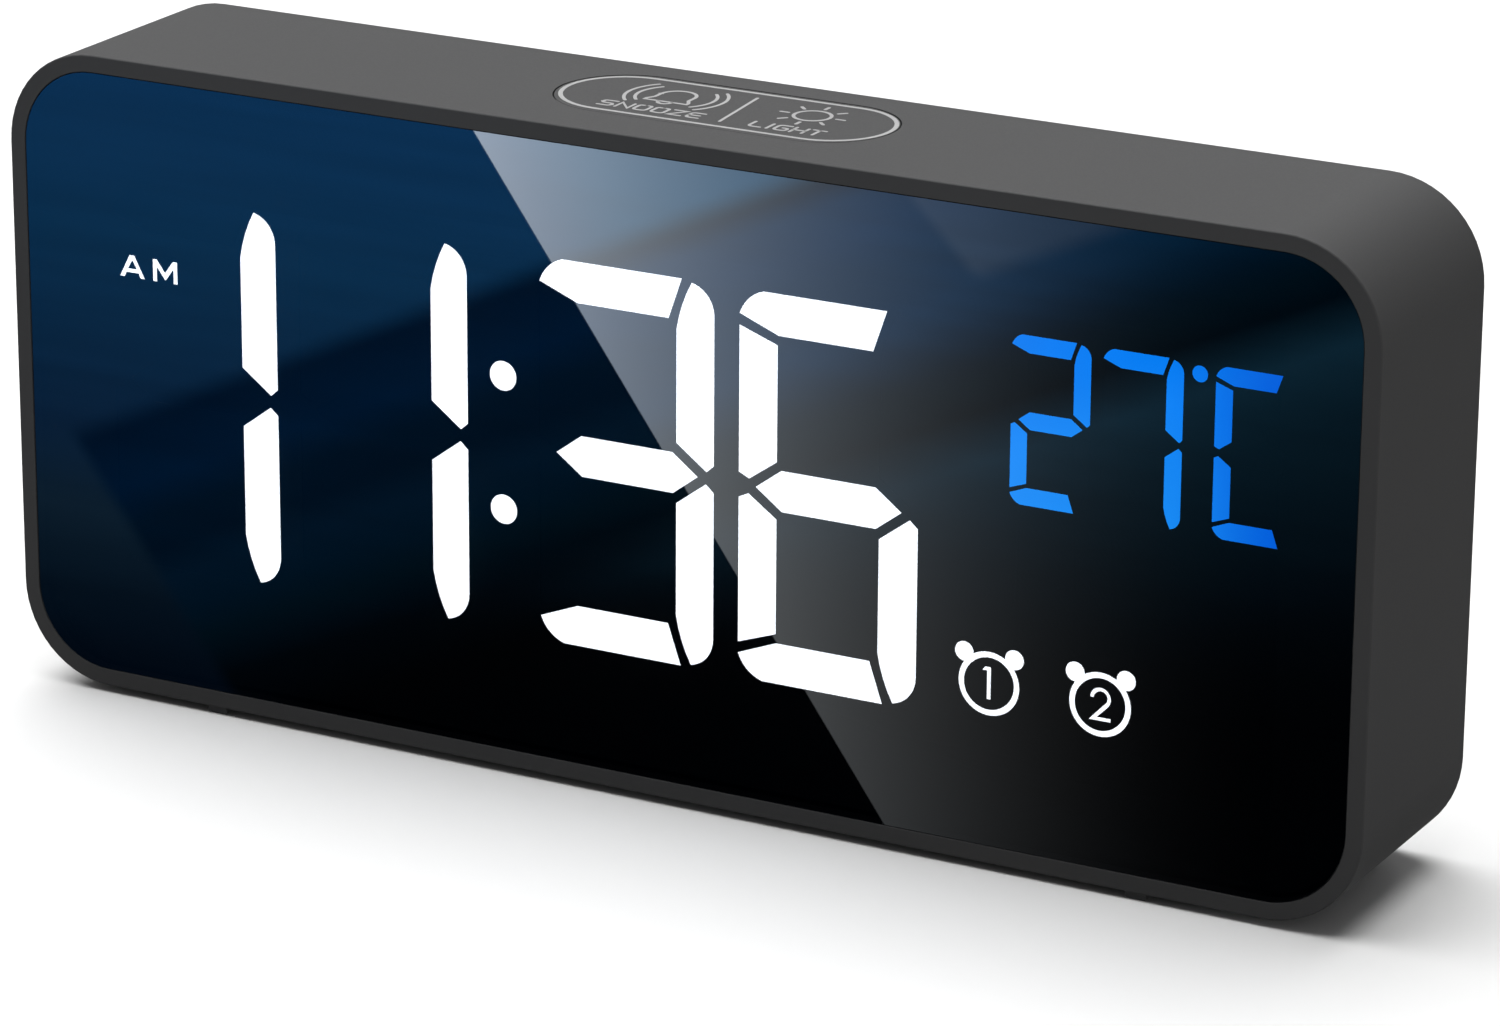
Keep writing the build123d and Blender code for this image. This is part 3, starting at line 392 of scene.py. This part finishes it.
def rounded(points, radius, steps=5):
    """A run of points with its inner corners rounded."""
    made = [points[0]]
    for before, corner, after in zip(points, points[1:], points[2:]):
        here = Vector(corner)
        back = Vector(before) - here
        on = Vector(after) - here
        cut = min(radius, back.length / 2, on.length / 2)
        first = here + back.normalized() * cut
        last = here + on.normalized() * cut
        for i in range(steps + 1):
            t = i / steps
            made.append(tuple(first * (1 - t) ** 2 + here * (2 * t * (1 - t)) + last * t * t))
    return made + [points[-1]]


def stroke_rows(path, width, closed, put):
    """The stroke's cross-sections, four corners each: left low, left high, right high, right low."""
    count = len(path)
    rows = []
    for i, point in enumerate(path):
        before = path[i - 1] if i or closed else None
        after = path[(i + 1) % count] if i + 1 < count or closed else None
        into = (point - before).normalized() if before is not None else None
        out = (after - point).normalized() if after is not None else None
        into = into or out
        out = out or into
        side = Vector((-into.y - out.y, into.x + out.x)).normalized()
        # a stroke stays as wide round a corner, unless the corner is very sharp
        reach = width / 2 / max(0.5, side.dot(Vector((-into.y, into.x))))
        rows.append([
            put(point + side * reach, False),
            put(point + side * reach, True),
            put(point - side * reach, True),
            put(point - side * reach, False),
        ])
    return rows


def round_end(corners, point, outward, width, put):
    """Faces of the half disc that closes a stroke at a cross-section, given anticlockwise."""
    turn = math.atan2(outward.y, outward.x)
    rim = [
        point + Vector((math.cos(turn + a), math.sin(turn + a))) * width / 2
        for a in [math.radians(d) for d in range(-60, 61, 30)]
    ]
    lower = [corners[0]] + [put(p, False) for p in rim] + [corners[3]]
    upper = [corners[1]] + [put(p, True) for p in rim] + [corners[2]]
    wall = [(lower[k], lower[k + 1], upper[k + 1], upper[k]) for k in range(len(rim) + 1)]
    return [upper, lower[::-1]] + wall


def print_marks(name, strokes, origin, across, up, body):
    """Thin raised ink. Each stroke is (points in mm, width in mm, closed), drawn on one plane."""
    normal = across.cross(up)
    verts, faces = [], []

    def put(point, raised):
        place = origin + across * (point[0] * MM) + up * (point[1] * MM)
        verts.append(place + normal * (INK_HEIGHT if raised else 0.0))
        return len(verts) - 1

    for points, width, closed in strokes:
        path = [Vector(p) for p in points]
        rows = stroke_rows(path, width, closed, put)
        for here, there in zip(rows, rows[1:] + rows[:1] if closed else rows[1:]):
            for k in range(4):
                following = (k + 1) % 4
                faces.append((here[k], here[following], there[following], there[k]))
        if not closed:
            faces += round_end(rows[0], path[0], path[0] - path[1], width, put)
            faces += round_end(rows[-1][::-1], path[-1], path[-1] - path[-2], width, put)
    mesh = bpy.data.meshes.new(name)
    mesh.from_pydata(verts, [], faces)
    mesh.validate()
    mesh.materials.append(MATERIALS["printed_ink"])
    piece = bpy.data.objects.new(name, mesh)
    bpy.context.scene.collection.objects.link(piece)
    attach(piece, body)


# Plain squared capitals in a box 1 wide and 1 tall.
LETTERS = {
    "S": [[(1, 1), (0, 1), (0, 0.5), (1, 0.5), (1, 0), (0, 0)]],
    "N": [[(0, 0), (0, 1), (1, 0), (1, 1)]],
    "O": [[(0.5, 1), (0, 1), (0, 0), (1, 0), (1, 1), (0.5, 1)]],
    "Z": [[(0, 1), (1, 1), (0, 0), (1, 0)]],
    "E": [[(1, 1), (0, 1), (0, 0), (1, 0)], [(0, 0.5), (0.85, 0.5)]],
    "L": [[(0, 1), (0, 0), (1, 0)]],
    "I": [[(0.5, 0), (0.5, 1)]],
    "G": [[(1, 1), (0, 1), (0, 0), (1, 0), (1, 0.5), (0.55, 0.5)]],
    "H": [[(0, 0), (0, 1)], [(1, 0), (1, 1)], [(0, 0.5), (1, 0.5)]],
    "T": [[(0, 1), (1, 1)], [(0.5, 1), (0.5, 0)]],
}
SHARP = "NZ"
SLIM = "I"
SLIM_WIDTH = 0.25
LETTER_GAP = 0.42
LETTER_CORNER = 0.55


def word(text, left, right, low, high, width):
    """Strokes of a word that fills a box."""
    shares = [SLIM_WIDTH if letter in SLIM else 1.0 for letter in text]
    unit = (right - left) / (sum(shares) + LETTER_GAP * (len(text) - 1))
    strokes = []
    pen = left
    for letter, share in zip(text, shares):
        for run in LETTERS[letter]:
            points = [(pen + x * share * unit, low + y * (high - low)) for x, y in run]
            if letter not in SHARP:
                points = rounded(points, LETTER_CORNER)
            strokes.append((points, width, False))
        pen += (share + LETTER_GAP) * unit
    return strokes


def bell(x, low, high, shoulder, rim, width):
    """Outline of a bell and the bow of its clapper."""
    tall = high - low
    half, foot = shoulder / 2, rim / 2
    flare_low, flare_high, dome = low + 0.09 * tall, low + 0.27 * tall, low + 0.52 * tall
    outline = [(x - foot, low), (x - foot, flare_low), (x - half, flare_high), (x - half, dome)]
    outline += arc((x, dome), half, 180, 0)
    outline += [(x + half, flare_high), (x + foot, flare_low), (x + foot, low)]
    clapper = arc((x, low - 0.02 * tall), 0.16 * rim, 180, 360, 10)
    return [(outline, width, True), (clapper, width, False)]


def sun(centre, ring, first, last, width):
    """Ring with eight rays."""
    strokes = [(arc(centre, ring, 0, 345, 23), width, True)]
    for index in range(8):
        turn = math.radians(45 * index)
        ray = Vector((math.cos(turn), math.sin(turn)))
        strokes.append(([Vector(centre) + ray * first, Vector(centre) + ray * last], width, False))
    return strokes


def stadium(centre, length, wide):
    """Outline of a slot, through the middle of its line."""
    radius = wide / 2
    reach = length / 2 - radius
    right = arc((centre[0] + reach, centre[1]), radius, -90, 90)
    return right + arc((centre[0] - reach, centre[1]), radius, 90, 270)


# marks on the top key, in millimetres: x from the middle of the clock, y from the middle of the key
RING_LINE = 0.5
DIVIDER_LINE = 0.36
SWING_LINE = 0.38
WORD_LINE = 0.35
# degrees
SWING_REACH = 42
snooze_low, snooze_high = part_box("snooze_key")
snooze_y = (snooze_low.y + snooze_high.y) / 2 / MM
top_marks = [
    (stadium((0.15, snooze_y + 0.05), 39.0, 14.0), RING_LINE, True),
    ([(2.0, snooze_y - 5.1), (1.0, snooze_y + 5.3)], DIVIDER_LINE, False),
]
top_marks += bell(
    x=-6.9, low=snooze_y - 0.85, high=snooze_y + 4.3, shoulder=4.1, rim=5.1, width=0.4
)
# two arcs on each side of the bell, which swings
for swing_radius in (4.45, 5.65):
    for side_angle in (0, 180):
        swing = arc(
            (-6.85, snooze_y + 1.45), swing_radius, side_angle - SWING_REACH, side_angle + SWING_REACH
        )
        top_marks.append((swing, SWING_LINE, False))
top_marks += sun(centre=(9.55, snooze_y + 1.75), ring=2.05, first=2.9, last=3.8, width=0.39)
top_marks += word(
    "SNOOZE", left=-12.85, right=-0.65, low=snooze_y - 5.2, high=snooze_y - 3.3, width=WORD_LINE
)
top_marks += word(
    "LIGHT", left=5.4, right=13.8, low=snooze_y - 5.1, high=snooze_y - 3.2, width=WORD_LINE
)
print_marks(
    "snooze_key_print",
    top_marks,
    Vector((0, 0, snooze_high.z)),
    Vector((1, 0, 0)),
    Vector((0, 1, 0)),
    "snooze_button",
)


# one generic symbol on each rear key, in millimetres from its middle
ARROW_LINE = 0.36
CLOCK_FACE = (arc((0, 0), 1.55, 0, 345, 23), 0.32, True)
CLOCK_HANDS = ([(0, 0.9), (0, 0), (0.7, 0)], 0.3, False)
KEY_SYMBOLS = {
    "mode": [CLOCK_FACE, CLOCK_HANDS],
    "alarm": bell(x=0, low=-1.05, high=1.25, shoulder=1.7, rim=2.3, width=0.3),
    "up": [([(-1.3, -0.65), (0, 0.85), (1.3, -0.65)], ARROW_LINE, False)],
    "down": [([(-1.3, 0.65), (0, -0.85), (1.3, 0.65)], ARROW_LINE, False)],
    "dimmer": sun(centre=(0, 0), ring=0.75, first=1.15, last=1.65, width=0.28),
}
for key, symbol in KEY_SYMBOLS.items():
    key_low, key_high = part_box(key + "_key")
    key_middle = (key_low + key_high) / 2
    print_marks(
        key + "_key_print",
        symbol,
        Vector((key_middle.x, key_high.y, key_middle.z)),
        Vector((-1, 0, 0)),
        Vector((0, 0, 1)),
        key + "_button",
    )


# ------------------------------------------------------------------ studio
# The mirrored room is laid out in millimetres, across and down the front of the clock.
CLOCK_WIDTH = (cad_box[1].x - cad_box[0].x) / MM
# how far down each ramp of colours reaches
WALL_HEIGHT = 75.0
SHADOW_DEPTH = 40.0
FAR_WALL_DEPTH = 80.0
# where the shadow's top line meets the left side, and how it rises on its way to the right
SHADOW_START = 49.4
SHADOW_RISE = 0.463
# where the slanting lines meet the top, and how far they go to the right on their way down
SHADOW_END_START = -26.3
SHADOW_END_SLOPE = 0.75
WINDOW_START = 58.45
WINDOW_SLOPE = 0.7201
PANE_START = 110.0
WINDOW_FADE = 90.0
WINDOW_LIGHT = 0.174
# degrees
STREAK_TURN = -24.8


def reflected_room():
    """What the lens mirrors: a dim blue room with slanting shadows and a pale window to the right."""
    net = new_material("reflected_room")
    place = net.place()
    low, high = cad_box
    across = net.math("MULTIPLY", net.math("SUBTRACT", place["X"], low.x), 1 / MM)
    down = net.math("MULTIPLY", net.math("SUBTRACT", high.z, place["Z"]), 1 / MM)

    def times(*factors):
        product = factors[0]
        for factor in factors[1:]:
            product = net.math("MULTIPLY", product, factor)
        return product

    def without(value):
        return net.math("SUBTRACT", 1.0, value)

    def add(base, colour, factor=1.0):
        return net.mix(factor, base, colour, blend="ADD")

    # wall, paler at its top
    wall_colour = net.ramp(
        net.math("DIVIDE", down, WALL_HEIGHT, clamp=True),
        [
            (0.0, (0.0036, 0.0290, 0.0850)),
            (0.27, (0.0028, 0.0245, 0.0660)),
            (0.57, (0.0025, 0.0125, 0.0350)),
            (0.7, (0.0036, 0.0118, 0.0238)),
            (0.84, (0.0010, 0.0046, 0.0105)),
            (1.0, (0.0, 0.0010, 0.0032)),
        ],
    )

    # banded shadow below a line that rises to the right; it ends at the left on a steep line
    below = net.math("SUBTRACT", net.math("ADD", down, times(across, SHADOW_RISE)), SHADOW_START)
    shadow_colour = net.ramp(
        net.math("DIVIDE", below, SHADOW_DEPTH, clamp=True),
        [
            (0.0, (0.0, 0.0050, 0.0170)),
            (0.17, (0.0, 0.0068, 0.0235)),
            (0.28, (0.0, 0.0047, 0.0137)),
            (0.38, (0.0, 0.0040, 0.0116)),
            (0.48, (0.0003, 0.0060, 0.0160)),
            (0.58, (0.0, 0.0050, 0.0128)),
            (0.68, (0.0, 0.0036, 0.0075)),
            (0.82, (0.0, 0.0008, 0.0019)),
            (1.0, (0.0, 0.0001, 0.0003)),
        ],
    )
    shadow_end = net.remap(down, SHADOW_END_SLOPE, SHADOW_END_START)
    inside = net.step(net.math("SUBTRACT", across, shadow_end), -1.5, 2.0)
    room = net.mix(times(net.step(below, -3.6, 0.2), inside), wall_colour, shadow_colour)

    # paler band of the far wall, under the shadow
    far_wall = net.ramp(
        net.math("DIVIDE", below, FAR_WALL_DEPTH, clamp=True),
        [
            (0.38, (0.0, 0.0, 0.0)),
            (0.45, (0.0032, 0.0150, 0.0265)),
            (0.5, (0.0023, 0.0108, 0.0190)),
            (0.55, (0.0017, 0.0078, 0.0137)),
            (0.64, (0.0011, 0.0052, 0.0091)),
            (0.8, (0.0004, 0.0019, 0.0034)),
            (1.0, (0.0, 0.0, 0.0)),
        ],
    )
    room = add(room, far_wall, without(net.step(down, 26.0, 58.0)))

    # pale window, which starts on a hard edge that slants down to the right, and fades to the right
    edge = net.remap(down, WINDOW_SLOPE, WINDOW_START)
    window = net.step(net.math("SUBTRACT", across, edge), -0.12, 0.12)
    from_right = net.math("MAXIMUM", net.math("SUBTRACT", CLOCK_WIDTH, across), 0.0)
    fade = net.math("DIVIDE", from_right, WINDOW_FADE)
    glow = times(net.math("POWER", fade, 3.5), WINDOW_LIGHT, window)
    glow_colour = net.mix(net.step(down, 0.0, 60.0), (1.0, 1.12, 1.24, 1), (1.0, 1.06, 1.1, 1))

    # blue haze in the shadow that shows through the window
    haze = net.math("MINIMUM", times(fade, 2.0), 1.2)
    haze = times(haze, without(net.step(below, 15.0, 26.0)), window, net.step(below, -1.0, 4.0))
    room = add(room, (0.0, 0.0138, 0.0400, 1), haze)

    # wall above the shadow, lit by the window
    lit = net.step(net.math("SUBTRACT", across, edge), -2.0, 16.0)
    lit = times(lit, without(net.step(below, -3.5, 0.5)), window)
    room = add(room, (0.008, 0.035, 0.048, 1), lit)

    # pane that catches a little more light
    pane = net.step(net.math("SUBTRACT", across, net.math("ADD", down, PANE_START)), -1.2, 1.8)
    pane = times(pane, without(net.step(below, 14.0, 17.0)), times(fade, 2.0))
    room = add(room, (0.0155, 0.0165, 0.0170, 1), pane)

    # soft streaks along the shadows
    streaks = net.node("Mapping")
    streaks.inputs["Rotation"].default_value = (0, math.radians(STREAK_TURN), 0)
    streaks.inputs["Scale"].default_value = (22.0, 1.0, 420.0)
    net.join(net.point(), streaks.inputs["Vector"])
    blur = net.remap(net.noise(1.0, 3.0, streaks.outputs[0]), 0.36, 0.82)
    room = net.mix(1.0, room, blur, blend="MULTIPLY")

    light = net.node("Emission")
    net.join(add(room, net.mix(1.0, glow_colour, glow, blend="MULTIPLY")), light.inputs["Color"])
    light.inputs["Strength"].default_value = 1 / LENS_REFLECTANCE
    net.output(light.outputs[0])


AZIMUTH = math.radians(28.215)
ELEVATION = math.radians(18.663)
ROLL = math.radians(0.359)
DISTANCE = 0.66372
AIM_RIGHT = 0.0112
AIM_HEIGHT = 0.03528
FOCAL_LENGTH = 150.2
SENSOR_WIDTH = 36.0
target = Vector((AIM_RIGHT, cad_box[0].y, AIM_HEIGHT))
back = Vector((
    math.sin(AZIMUTH) * math.cos(ELEVATION),
    -math.cos(AZIMUTH) * math.cos(ELEVATION),
    math.sin(ELEVATION),
))
side = Vector((0, 0, 1)).cross(back).normalized()
rise = back.cross(side)
right = side * math.cos(ROLL) + rise * math.sin(ROLL)
above = rise * math.cos(ROLL) - side * math.sin(ROLL)
eye = target + back * DISTANCE
camera_data = bpy.data.cameras.new("camera")
camera_data.sensor_width = SENSOR_WIDTH
camera_data.lens = FOCAL_LENGTH
camera_data.clip_start = 0.01
camera_data.clip_end = 50.0
camera = bpy.data.objects.new("camera", camera_data)
camera.matrix_world = Matrix((
    (right.x, above.x, back.x, eye.x),
    (right.y, above.y, back.y, eye.y),
    (right.z, above.z, back.z, eye.z),
    (0, 0, 0, 1),
))
bpy.context.scene.collection.objects.link(camera)
bpy.context.scene.camera = camera


def sheet_object(name, corners, material):
    """One flat quad."""
    mesh = bpy.data.meshes.new(name)
    mesh.from_pydata(corners, [], [(0, 1, 2, 3)])
    mesh.materials.append(material)
    made = bpy.data.objects.new(name, mesh)
    bpy.context.scene.collection.objects.link(made)
    return made


CARD_DISTANCE = 60.0 * MM
# the part of the clock's front plane that the card covers, with room to spare
CARD_REACH = 0.2
CARD_FOOT = -0.12
CARD_TOP = 0.16


def mirror_card():
    """Card in front of the lens that only mirror rays see.

    The eye's mirror image in the lens looks through the lens at the card, so a card scaled about
    that image puts each of its points behind the same point of the lens.
    """
    lens_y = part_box("front_lens")[0].y
    card_y = lens_y - CARD_DISTANCE
    image = Vector((eye.x, 2 * lens_y - eye.y, eye.z))
    scale = (card_y - image.y) / (lens_y - image.y)
    corners = [
        (-CARD_REACH, 0, CARD_FOOT),
        (CARD_REACH, 0, CARD_FOOT),
        (CARD_REACH, 0, CARD_TOP),
        (-CARD_REACH, 0, CARD_TOP),
    ]
    reflected_room()
    card = sheet_object("mirror_card", corners, MATERIALS["reflected_room"])
    card.scale = (scale, 1, scale)
    card.location = (image.x * (1 - scale), card_y, image.z * (1 - scale))
    card.visible_camera = False
    card.visible_diffuse = False
    card.visible_transmission = False
    card.visible_volume_scatter = False
    card.visible_shadow = False


mirror_card()

floor_net = new_material("floor")
floor_shader = floor_net.node("BsdfDiffuse")
pale = floor_net.mix(floor_net.noise(3.0), (0.462, 0.462, 0.462, 1), (0.472, 0.472, 0.472, 1))
floor_net.join(pale, floor_shader.inputs["Color"])
floor_net.output(floor_shader.outputs[0])
FLOOR_REACH = 30.0
floor = sheet_object(
    "floor",
    [(x * FLOOR_REACH, y * FLOOR_REACH, 0) for x, y in ((-1, -1), (1, -1), (1, 1), (-1, 1))],
    MATERIALS["floor"],
)
floor.visible_glossy = False


def sun_lamp(name, strength, spread, tilt_back, tilt_right):
    """Soft light from above, tilted back and to the right by so many degrees. Returns its object."""
    data = bpy.data.lights.new(name, "SUN")
    data.energy = strength
    data.angle = math.radians(spread)
    made = bpy.data.objects.new(name, data)
    direction = Vector((
        math.sin(math.radians(tilt_right)),
        math.sin(math.radians(tilt_back)),
        math.cos(math.radians(tilt_back)) * math.cos(math.radians(tilt_right)),
    ))
    made.rotation_euler = direction.to_track_quat("Z", "Y").to_euler()
    bpy.context.scene.collection.objects.link(made)
    return made


sun_lamp("soft_top_light", strength=7.6, spread=70.0, tilt_back=6.0, tilt_right=-14.0)
sun_lamp("side_fill", strength=0.72, spread=12.0, tilt_back=0.0, tilt_right=85.0)
rear_fill = sun_lamp("rear_fill", strength=1.5, spread=25.0, tilt_back=78.0, tilt_right=-12.0)
# it grazes the top, where its gloss would show
rear_fill.visible_glossy = False

# the studio lights the clock grey all round, and the eye sees white paper behind it
world = bpy.data.worlds.new("studio")
world.use_nodes = True
world_net = Net(world.node_tree)
seen = world_net.node("LightPath")
sky = world_net.node("Background")
sky.inputs["Color"].default_value = (0.25, 0.25, 0.25, 1)
paper = world_net.node("Background")
paper.inputs["Color"].default_value = (1, 1, 1, 1)
chosen = world_net.mix_shaders(seen.outputs["Is Camera Ray"], sky, paper)
world_net.join(chosen.outputs[0], world_net.node("OutputWorld").inputs["Surface"])
bpy.context.scene.world = world
bpy.context.scene.view_settings.view_transform = "Standard"
